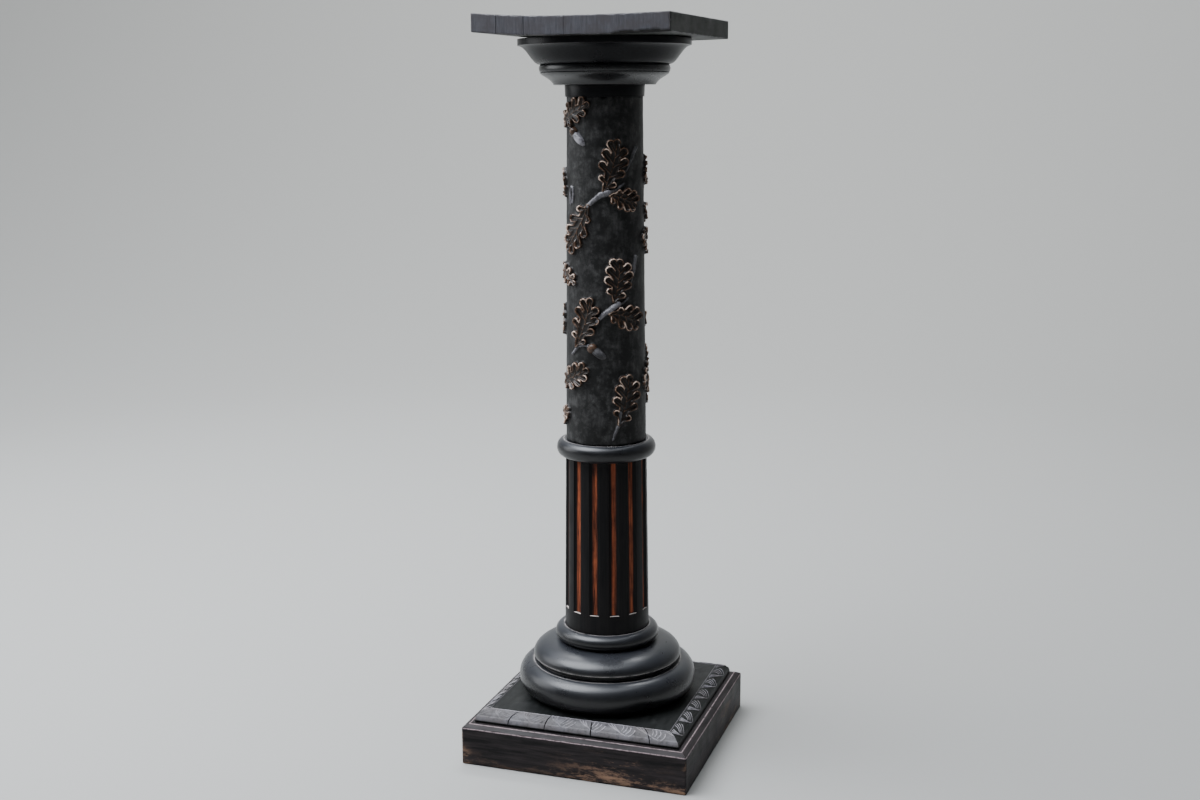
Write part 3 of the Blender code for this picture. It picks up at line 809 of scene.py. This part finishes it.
def make_turned_base(material):
    """The bell, whose lip hangs over a recessed foot, and the torus that it stands on."""
    low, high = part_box("base_bell")
    foot_radius = BELL_FOOT_SHARE * high.x
    neck = BELL_NECK_SHARE * high.x
    lip = (high.x, low.z + BELL_FOOT_HEIGHT)
    lip_top = lip[1] + BELL_LIP_HEIGHT
    side = [(foot_radius, low.z), (foot_radius, lip[1] - BELL_FOOT_COVE[1]),
            (foot_radius + BELL_FOOT_COVE[0], lip[1]), lip]
    side += cyma((high.x, lip_top), (high.x, lip_top + BELL_LIP_PULL), (neck + BELL_TOP_PULL, high.z),
                 (neck, high.z))
    turned_piece("turned_base_bell", side, material, "base_bell", edge=0.0006, lip=lip)

    low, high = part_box("base_torus")
    lip = (TORUS_SHARE * high.x, high.z)
    side = half_round(lip[0], high.x, low.z, high.z, 44)
    side += crisp_lip(*lip, foot_radius - 0.0010, TORUS_GROOVE)
    turned_piece("turned_base_torus", side, material, "base_torus", edge=0.0006, lip=lip)


# The upper shaft and the oak spray carved round it

class Relief:
    """Height and wear of the carving on a grid over the shaft's unrolled skin. The wear also holds painted
    highlights on leaf rims that face the light.
    """

    def __init__(self, radius, angles, heights):
        self.radius = radius
        self.angles = angles
        self.across, self.up = np.meshgrid(np.radians(angles) * radius, heights)
        self.height = np.zeros_like(self.across)
        self.wear = np.zeros_like(self.across)
        self.turn = 2 * math.pi * radius

    def place(self, spot):
        return np.array((math.radians(spot[0]) * self.radius, spot[1]))

    def window(self, low, high):
        """Rows and columns that hold a box, and the across and up values there, the seam closed."""
        middle = (low[0] + high[0]) / 2
        across = self.across[0]
        across = middle + (across - middle + self.turn / 2) % self.turn - self.turn / 2
        columns = np.nonzero((across > low[0]) & (across < high[0]))[0]
        rows = np.nonzero((self.up[:, 0] > low[1]) & (self.up[:, 0] < high[1]))[0]
        picked = np.ix_(rows, columns)
        return picked, np.meshgrid(across[columns], self.up[rows, 0])

    def raise_to(self, picked, height, wear):
        """Keep whichever surface stands higher."""
        higher = height > self.height[picked]
        self.height[picked] = np.where(higher, height, self.height[picked])
        self.wear[picked] = np.where(higher, wear, self.wear[picked])


def limb(across, up, start, end, start_radius, end_radius):
    """Distance to a straight limb's middle line, its share along it, and the distance outside its skin."""
    run = end - start
    share = ((across - start[0]) * run[0] + (up - start[1]) * run[1]) / (run @ run)
    share = np.clip(share, 0.0, 1.0)
    distance = np.hypot(across - start[0] - share * run[0], up - start[1] - share * run[1])
    return distance, share, distance - start_radius - (end_radius - start_radius) * share


def leaf_limbs(base, tip, half_width, bow):
    """The blade and lobes of an oak leaf: (start, end, start radius, end radius) each."""
    length = np.linalg.norm(tip - base)
    forward = (tip - base) / length
    side = np.array((-forward[1], forward[0]))

    def midrib(share):
        return base + forward * length * share + side * bow * 4 * share * (1 - share)

    def blade(share):
        return half_width * (0.12 + 0.36 * math.sin(math.pi * min(1.0, share * 1.05)) ** 0.8)

    limbs = []
    joints = np.linspace(0.02, 0.92, 9)
    for first, second in zip(joints, joints[1:]):
        limbs.append((midrib(first), midrib(second), blade(first), blade(second)))
    lobe_radius = 0.30 * half_width
    limbs.append((midrib(0.86), midrib(0.925), 0.8 * lobe_radius, 1.05 * lobe_radius))
    for hand in (-1, 1):
        for share, reach, spread, size in LEAF_LOBES:
            share = share + LOBE_STAGGER * hand
            heading = math.radians(spread) * hand
            direction = forward * math.cos(heading) + side * math.sin(heading)
            root = midrib(share)
            end = root + direction * (half_width * reach)
            limbs.append((root, end, 0.75 * size * lobe_radius, size * lobe_radius))
    return limbs


def carve_leaf(relief, base, tip, half_width, bow):
    """A leaf with a rolled rim round its lobes, dished between its veins, most worn at its lobes' ends, with
    a painted highlight on the rims that face the light.
    """
    margin = half_width * 1.3 + 0.006
    low = np.minimum(base, tip) - margin
    high = np.maximum(base, tip) + margin
    picked, (across, up) = relief.window(low, high)
    outside = np.full(across.shape, 1.0)
    vein = np.zeros(across.shape)
    curl = np.zeros(across.shape)
    for start, end, start_radius, end_radius in leaf_limbs(base, tip, half_width, bow):
        distance, share, gap = limb(across, up, start, end, start_radius, end_radius)
        is_lobe = np.linalg.norm(end - start) > 0.3 * half_width and end_radius > start_radius * 1.2
        curl = np.where(gap < outside, share ** 2 * is_lobe, curl)
        outside = np.minimum(outside, gap)
        vein = np.maximum(vein, np.exp(-(distance / VEIN_WIDTH) ** 2) * (1.0 - 0.55 * share))
    depth = -outside
    slope_up, slope_across = np.gradient(outside, RELIEF_STEP)
    # Painted highlight: how squarely the leaf's edge faces the light at the upper left
    painted_light = slope_across * PAINTED_LIT_SIDE[0] + slope_up * PAINTED_LIT_SIDE[1]
    wall = smoothstep(-0.0003, 0.0009, depth)
    rim = np.exp(-((depth - RIM_INSET) / RIM_WIDTH) ** 2)
    dish = smoothstep(RIM_INSET, 2.5 * RIM_INSET, depth)
    height = LEAF_HEIGHT + (RIM_RISE + LOBE_RIM_RISE * curl) * rim - DISH_DEPTH * dish
    height = wall * (height + VEIN_RISE * vein + LOBE_RISE * curl)
    # Rim wear, most at the lobes' ends, plus a painted highlight on the rims that face the light
    rubbed = 0.48 + 0.30 * curl + 0.26 * painted_light
    wear = wall * np.clip(0.12 + rubbed * rim + 0.50 * vein, 0.0, 1.0)
    relief.raise_to(picked, height, wear)


def carve_rod(relief, path, radii, wear):
    """A round stem along a path of points, with a radius at each."""
    for start, end, start_radius, end_radius in zip(path, path[1:], radii, radii[1:]):
        margin = 2 * max(start_radius, end_radius)
        low = np.minimum(start, end) - margin
        high = np.maximum(start, end) + margin
        picked, (across, up) = relief.window(low, high)
        distance, share, _ = limb(across, up, start, end, start_radius, end_radius)
        radius = start_radius + (end_radius - start_radius) * share
        round_top = np.sqrt(np.clip(1.0 - (distance / radius) ** 2, 0.0, 1.0))
        height = round_top * radius * STEM_FLATNESS + STEM_FOOT * (distance < radius)
        relief.raise_to(picked, height, np.full(height.shape, wear))


def carve_acorn(relief, twig, cup, tip, nut_painted_highlight):
    """A nut in its cup, on a curved twig."""
    bend = (twig + cup) / 2 + np.array((0.0, TWIG_BOW))
    carve_rod(relief, [twig, bend, cup], TWIG_RADII, TWIG_PAINTED_HIGHLIGHT)
    run = tip - cup
    length = np.linalg.norm(run)
    forward = run / length
    low = np.minimum(cup, tip) - ACORN_MARGIN
    high = np.maximum(cup, tip) + ACORN_MARGIN
    picked, (across, up) = relief.window(low, high)
    along = (across - cup[0]) * forward[0] + (up - cup[1]) * forward[1]
    beside = (across - cup[0]) * -forward[1] + (up - cup[1]) * forward[0]
    for (start, end, radius, tall), wear in ((NUT, nut_painted_highlight), (CUP, CUP_WEAR)):
        middle = (start + end) / 2 * length
        reach = (end - start) / 2 * length
        share = ((along - middle) / reach) ** 2 + (beside / radius) ** 2
        height = tall * np.sqrt(np.clip(1.0 - share, 0.0, 1.0))
        relief.raise_to(picked, height, np.full(height.shape, wear))


def carve_spray(relief):
    """The stems, leaves and acorns of the front, and the same again half a turn on and a little higher."""
    def copies(*spots):
        for turn, rise in ((0.0, 0.0), (BACK_TURN, BACK_RISE), (BACK_TURN, BACK_RISE - SPRAY_REPEAT)):
            moved = [(spot[0] + turn, spot[1] + rise) for spot in spots]
            if all(SPRAY_BOTTOM <= spot[1] <= SPRAY_TOP for spot in moved):
                yield [relief.place(spot) for spot in moved]

    for base, tip, half_width, bow in FRONT_LEAVES:
        for first, last in copies(base, tip):
            carve_leaf(relief, first, last, half_width, bow)
    for spots, first_radius, last_radius, wear in FRONT_STEMS:
        for path in copies(*spots):
            carve_rod(relief, path, np.linspace(first_radius, last_radius, len(path)), wear)
    for twig, cup, tip, nut_painted_highlight in FRONT_ACORNS:
        for spots in copies(twig, cup, tip):
            carve_acorn(relief, *spots, nut_painted_highlight)


def lighten(piece, triangles):
    """Thin the mesh out where it is nearly flat."""
    count = sum(len(face.vertices) - 2 for face in piece.data.polygons)
    if count <= triangles:
        return
    thinner = piece.modifiers.new("lighten", "DECIMATE")
    thinner.ratio = triangles / count
    evaluated = piece.evaluated_get(bpy.context.evaluated_depsgraph_get())
    mesh = bpy.data.meshes.new_from_object(evaluated)
    piece.modifiers.clear()
    piece.data = mesh


def refresh_wear(piece, relief, bottom, top):
    """Read the wear again from the relief's grid at each vertex that is left."""
    mesh = piece.data
    places = np.zeros(len(mesh.vertices) * 3)
    mesh.vertices.foreach_get("co", places)
    places = places.reshape(-1, 3)
    rows, columns = relief.wear.shape
    turns = np.degrees(np.arctan2(places[:, 0], -places[:, 1]))
    column = np.round((turns + 180) / 360 * columns).astype(int) % columns
    row = np.clip(np.round((places[:, 2] - bottom) / (top - bottom) * (rows - 1)), 0, rows - 1).astype(int)
    attribute = mesh.attributes.get("wear") or mesh.attributes.new("wear", "FLOAT", "POINT")
    attribute.data.foreach_set("value", relief.wear[row, column].astype(np.float32))


def make_upper_shaft(material):
    """The tapered shaft with its carving. Its ends hide in the gaps at its neighbours."""
    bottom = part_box("middle_collar")[1].z + GAP
    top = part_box("neck_ring")[0].z + SHAFT_TOP_GAP
    bottom_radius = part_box("upper_shaft")[1].x
    top_radius = bottom_radius * SHAFT_TAPER
    middle_radius = (bottom_radius + top_radius) / 2
    columns = int(2 * math.pi * middle_radius / RELIEF_STEP)
    rows = int((top - bottom) / RELIEF_STEP)
    angles = np.linspace(-180, 180, columns, endpoint=False)
    heights = np.linspace(bottom, top, rows)
    relief = Relief(middle_radius, angles, heights)
    carve_spray(relief)

    ground = bottom_radius + (top_radius - bottom_radius) * (heights - bottom) / (top - bottom)
    points = around(np.radians(angles), ground[:, None], heights)
    uneven = smooth_noise(points, 0.012, 5) * 0.00022 + smooth_noise(points, 0.0035, 6) * 0.00012
    lumpy = 1.0 + 0.16 * smooth_noise(points, 0.011, 7)
    radius = np.hypot(points[:, 0], points[:, 1])
    raised = radius + uneven + relief.height.reshape(-1) * lumpy
    points[:, :2] *= (raised / radius)[:, None]

    faces = capped_grid(rows, columns)
    wear = relief.wear.reshape(-1)
    piece = new_piece("carved_upper_shaft", points, faces, wear, material, "upper_shaft", sharp=180)
    lighten(piece, RELIEF_TRIANGLES)
    refresh_wear(piece, relief, bottom, top)


# The fluted shaft

def make_lower_shaft(material):
    """Hollow flutes with crisp arrises and a flat floor at the foot. They run out under the collar."""
    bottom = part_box("base_ring")[1].z + GAP
    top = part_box("middle_collar")[0].z - GAP
    foot_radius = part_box("lower_shaft")[1].x
    even = np.linspace(bottom, top, 70)
    near_foot = np.linspace(FLUTE_BOTTOM - 0.003, FLUTE_BOTTOM + 0.006, 28)
    heights = np.unique(np.concatenate([even, near_foot]))
    above = heights - FLUTE_BOTTOM
    columns = FLUTE_COLUMNS * FLUTE_COUNT
    turns = np.linspace(-math.pi, math.pi, columns, endpoint=False)
    ground = foot_radius * (1 - (heights - bottom) / (top - bottom) * (1 - FLUTED_TAPER))
    # Place in the flute: 0 at its middle, 1 at its arris
    phase = (turns - math.radians(FLUTE_TURN)) * FLUTE_COUNT / (2 * math.pi)
    place = np.abs((phase + 0.5) % 1.0 - 0.5) * 2 / FLUTE_SHARE
    arris = math.sqrt(FLUTE_ROUNDNESS)
    hollow = np.sqrt(np.clip(1.0 + FLUTE_ROUNDNESS - place ** 2, 0.0, None)) - arris
    hollow = np.clip(hollow, 0.0, None) / (math.sqrt(1.0 + FLUTE_ROUNDNESS) - arris)
    open_part = smoothstep(0.0, 0.0008, above)
    radius = ground[:, None] - FLUTE_DEPTH * hollow * open_part[:, None]
    # The wear is the share of red stain, black on each flute's walls: partly the ebonising, partly painted
    # shade. The floor of each flute is painted pale, so it is negative there
    # Painted shade, in part: the stain fades to black towards each flute's walls
    stain = smoothstep(0.0, 0.0016, above)[:, None] * (1.0 - smoothstep(0.28, 0.66, place))
    floor = smoothstep(-0.0001, 0.0003, above) * (1.0 - smoothstep(0.0003, 0.0008, above))
    wear = stain - 2.0 * floor[:, None] * (1.0 - smoothstep(0.85, 1.0, place))
    faces = capped_grid(len(heights), columns)
    points = around(turns, radius, heights)
    new_piece("fluted_lower_shaft", points, faces, wear.reshape(-1), material, "lower_shaft", sharp=50)


# The plinth

def stroke(along, across, start, end, bow, width):
    """One carved rib, from 0 to 1. It bows sideways from start to end, (along, across) each."""
    share = (across - start[1]) / (end[1] - start[1])
    middle = start[0] + (end[0] - start[0]) * share + bow * 4 * share * (1 - share)
    ends = smoothstep(-0.05, 0.05, share) * smoothstep(-0.05, 0.05, 1 - share)
    return np.exp(-((along - middle) / width) ** 4) * ends


def border_ribs(along, across, side_length):
    """Leaf strokes on the rounded edge of the plinth board, from 0 to 1."""
    pitch = side_length / UNITS_PER_SIDE
    place = (along / pitch) % 1.0 - 0.5
    ribs = np.zeros_like(place)
    for start, end, bow, width in BORDER_STROKES:
        for shift in (-1, 0, 1):
            ribs = np.maximum(ribs, stroke(place - shift, across, start, end, bow, width))
    return ribs


def border_sections(thick):
    """The plinth board's section: inset, height and share of the way across the carving."""
    sections = [(0.0012, 0.0, PLAIN), (0.0, 0.0008, PLAIN), (0.0, BORDER_LIP, PLAIN)]
    rise = thick - BORDER_LIP
    for angle in np.linspace(5, 90, BORDER_RINGS):
        bend = math.radians(angle)
        inset = BORDER_WIDTH * (1 - math.cos(bend))
        sections.append((inset, BORDER_LIP + rise * math.sin(bend), angle / 90))
    sections.append((BORDER_WIDTH + 0.0012, thick, RUBBED_LINE))
    groove = (BORDER_WIDTH + 0.0018, 0.020, 0.026, 0.034, 0.050)
    sections += [(inset, thick - GROOVE_DEPTH, PLAIN) for inset in groove]
    sections += [(inset, thick, PLAIN) for inset in (0.052, 0.080, 0.110, 0.130)]
    return sections


def make_plinth_board(material):
    """The board as rings from its underside up over the carved edge and in to the column."""
    low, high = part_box("plinth_board")
    share = np.arange(BORDER_COLUMNS) / BORDER_COLUMNS * 2 - 1
    ones = np.ones(BORDER_COLUMNS)
    sides = ((share, -ones), (ones, share), (-share, ones), (-ones, -share))
    outline = np.concatenate([np.stack(side, 1) for side in sides])
    side_index = np.repeat(np.arange(4), BORDER_COLUMNS)
    normal_x = np.choose(side_index, (0, 1, 0, -1))
    normal_y = np.choose(side_index, (-1, 0, 1, 0))
    front = side_index == 0
    along = np.tile(share, 4) * np.where(side_index % 2 == 0, high.x, high.y)
    cracks = np.zeros(len(outline))
    for place, width in BORDER_CRACKS:
        cracks = np.maximum(cracks, np.exp(-((along - place) / width) ** 2))
    cracks *= side_index % 2 == 0
    rings = []
    wears = []
    sections = border_sections(high.z - low.z)
    for inset, up, across in sections:
        sink = np.zeros(len(outline))
        bend = 0.0
        wear = np.zeros(len(outline))
        if across == RUBBED_LINE:
            # The line inside the border is rubbed, and paler on the front, partly as a painted highlight
            wear = np.where(front, 0.9, 0.55)
        if across >= 0:
            bend = across * math.pi / 2
            ribs = border_ribs(along + UNIT_SHIFT * side_index, across, 2 * high.x)
            carved = smoothstep(CARVED_FROM - 0.04, CARVED_FROM + 0.04, across)
            sink = CARVING_DEPTH * carved * (1.0 - ribs) * np.where(front, 0.55, 1.0)
            sink = sink + BORDER_CRACK_DEPTH * cracks
            # The front is rubbed all over, and its left half so much that the ribs hardly show. Its lilac
            # grey, far paler than on the other sides, is partly a painted highlight where the light falls
            shown = ribs * (0.30 + 0.70 * smoothstep(-0.06, 0.05, along))
            worn = np.where(front, 0.46 + 0.54 * shown - 0.16 * carved * (1.0 - shown), ribs)
            wear = np.clip(worn - cracks, 0.0, 1.0)
        x = (high.x - inset) * outline[:, 0] - normal_x * sink * math.cos(bend)
        y = (high.y - inset) * outline[:, 1] - normal_y * sink * math.cos(bend)
        rings.append(np.stack([x, y, low.z + up - sink * math.sin(bend)], 1))
        wears.append(wear)
    points = np.concatenate(rings)
    wear = np.concatenate(wears)
    faces = capped_grid(len(rings), len(outline))
    new_piece("carved_plinth_board", points, faces, wear, material, "plinth_board", sharp=70)


def subdivided(section, longest):
    """Split a closed (across, up, wear) section's long stretches."""
    points = []
    for start, end in zip(section, np.roll(section, -1, axis=0)):
        pieces = max(1, int(np.ceil(np.hypot(*(end - start)[:2]) / longest)))
        points += [start + (end - start) * step / pieces for step in range(pieces)]
    return np.array(points)


def bare_share(along, up, side):
    """Where the stain is rubbed off a plinth side: low down, at its ends, and most on the front's right."""
    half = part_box("plinth_front")[1].x
    low_band = 1.0 - smoothstep(0.004, 0.030, up)
    right_half = smoothstep(-0.06, 0.06, along)
    corner = smoothstep(half - 0.020, half - 0.002, np.abs(along)) * (1.0 - smoothstep(0.010, 0.035, up))
    right_edge = smoothstep(half - 0.008, half - 0.001, along) * (1.0 - smoothstep(0.02, 0.05, up))
    patch = np.exp(-(((along - 0.060) / 0.055) ** 2 + ((up - 0.034) / 0.018) ** 2))
    share = low_band * (0.15 + 0.75 * right_half) + 0.8 * corner + 0.9 * right_edge + 0.70 * patch
    return np.clip(share * (1.0 if side == 0 else 0.35), 0.0, 1.0)


def make_plinth_sides(materials):
    """Four mitred boards with a chamfered, rubbed top edge and a knocked bottom edge."""
    nodes = ("plinth_front", "plinth_right", "plinth_rear", "plinth_left")
    for quarter, node in enumerate(nodes):
        along_axis = quarter % 2
        low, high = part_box(node)
        outer = max(abs(low[1 - along_axis]), abs(high[1 - along_axis]))
        half = high[along_axis]
        top = high.z
        section = [(-SIDE_THICK, 0.0), (0.0, 0.0), (0.0, top - CHAMFER_HEIGHT), (-CHAMFER_WIDTH, top),
                   (-SIDE_THICK, top)]
        section = subdivided(np.array(soften(section, SIDE_EDGE_RADIUS)), 0.0035)
        rows = []
        for place in np.linspace(-1, 1, SIDE_COLUMNS):
            inset = -section[:, 0]
            rows.append(np.stack([place * (half - inset), inset - outer, section[:, 1]], 1))
        points = np.concatenate(rows)
        edge = np.tile(section[:, 2], SIDE_COLUMNS)
        # The mitre's outer corner is rounded by wear, more so towards the floor
        from_end = half - np.abs(points[:, 0])
        near_corner = np.clip(1.0 - from_end / MITRE_WEAR_REACH, 0.0, 1.0) * (points[:, 1] < -outer + 0.0005)
        points[:, 1] += MITRE_WEAR_DEPTH * near_corner ** 2
        nicks = np.clip(smooth_noise(points + quarter, 0.007, 11), 0.0, 1.0)
        nicks += np.clip(smooth_noise(points + quarter, 0.019, 12), 0.0, 1.0)
        points[:, 1] += edge * nicks * 0.0007
        points[:, 2] = np.clip(points[:, 2] - edge * nicks * 0.0005 * (points[:, 2] > 0.01), 0.0, None)
        upper = points[:, 2] > top - 2 * CHAMFER_HEIGHT
        bare = bare_share(points[:, 0], points[:, 2], quarter) * (points[:, 1] < -outer + 0.002)
        wear = np.where(upper, edge, -np.maximum(bare, 0.9 * near_corner))
        spin = np.array(Matrix.Rotation(math.radians(90 * quarter), 3, "Z"))
        points = points @ spin.T
        faces = [face[::-1] for face in capped_grid(SIDE_COLUMNS, len(section))]
        new_piece(f"worn_{node}", points, faces, wear, materials[along_axis], node, sharp=60)


# Floor, light and camera

def make_floor():
    """A pale round floor that sweeps up into a wall far away on every side."""
    section = [(0.01, 0.0), (1.0, 0.0), (FLOOR_RADIUS, 0.0)]
    for angle in range(3, 91, 3):
        bend = math.radians(angle)
        reach = FLOOR_RADIUS + FLOOR_BEND_RADIUS * math.sin(bend)
        section.append((reach, FLOOR_BEND_RADIUS * (1 - math.cos(bend))))
    section.append((FLOOR_RADIUS + FLOOR_BEND_RADIUS, WALL_TOP))
    radius, height = np.array(section).T
    turns = np.radians(np.arange(0, 360, 3))
    mesh = bpy.data.meshes.new("floor")
    points = around(turns, radius[:, None], height - FLOOR_DROP)
    mesh.from_pydata(points.tolist(), [], grid_faces(len(section), len(turns)))
    mesh.shade_smooth()
    floor = bpy.data.objects.new("floor", mesh)
    bpy.context.scene.collection.objects.link(floor)
    material, _, shader = new_material("pale_floor")
    shader.inputs["Base Color"].default_value = (0.34, 0.34, 0.33, 1)
    shader.inputs["Roughness"].default_value = 0.9
    shader.inputs["Specular IOR Level"].default_value = 0.1
    mesh.materials.append(material)


def make_light(name, place, target, size, watts, colour):
    """A round area light."""
    lamp = bpy.data.lights.new(name, "AREA")
    lamp.shape = "DISK"
    lamp.size = size
    lamp.energy = watts
    lamp.color = colour
    thing = bpy.data.objects.new(name, lamp)
    thing.location = place
    thing.rotation_euler = (Vector(target) - Vector(place)).to_track_quat("-Z", "Y").to_euler()
    bpy.context.scene.collection.objects.link(thing)


def make_lights():
    """A broad soft ceiling, brighter on the left, a weak light low on the left and one for the backdrop."""
    world = bpy.data.worlds.new("studio")
    bpy.context.scene.world = world
    world.use_nodes = True
    background = world.node_tree.nodes["Background"]
    background.inputs["Color"].default_value = (0.80, 0.84, 0.88, 1)
    background.inputs["Strength"].default_value = 0.10
    for light in LIGHTS:
        make_light(*light)


def make_camera():
    """The camera stands a little above the pedestal's middle and looks down to its base."""
    data = bpy.data.cameras.new("camera")
    data.lens = CAMERA_LENS
    data.sensor_width = SENSOR_WIDTH
    data.clip_end = 50
    camera = bpy.data.objects.new("camera", data)
    turn = Matrix.Rotation(math.radians(CAMERA_TURN), 4, "Z")
    pitch = Matrix.Rotation(math.radians(90 + CAMERA_PITCH), 4, "X")
    roll = Matrix.Rotation(math.radians(CAMERA_ROLL), 4, "Z")
    camera.matrix_world = Matrix.Translation(CAMERA_PLACE) @ turn @ pitch @ roll
    bpy.context.scene.collection.objects.link(camera)
    bpy.context.scene.camera = camera


def main():
    waxed = ebonised_wood("waxed_turning", 0.45)
    dull = ebonised_wood("dull_turning", 0.12)
    make_top_board(board_top_wood("top_board_wood"))
    make_capital(dull, waxed)
    make_upper_shaft(carved_wood("carved_wood"))
    make_rings(waxed)
    make_lower_shaft(fluted_wood("fluted_wood"))
    make_turned_base(waxed)
    make_plinth_board(border_wood("border_wood"))
    across = plinth_wood("plinth_wood_across", (0.07, 1.0, 1.0))
    lengthwise = plinth_wood("plinth_wood_lengthwise", (1.0, 0.07, 1.0))
    make_plinth_sides((across, lengthwise))

    # The hidden fastenings stay as they are in the frame
    raw = raw_wood("raw_wood")
    steel = dull_steel("screw_steel")
    for name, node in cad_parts.items():
        if not node.hide_render:
            node.data.materials.clear()
            node.data.materials.append(steel if "screw" in name else raw)

    make_floor()
    make_lights()
    make_camera()


main()
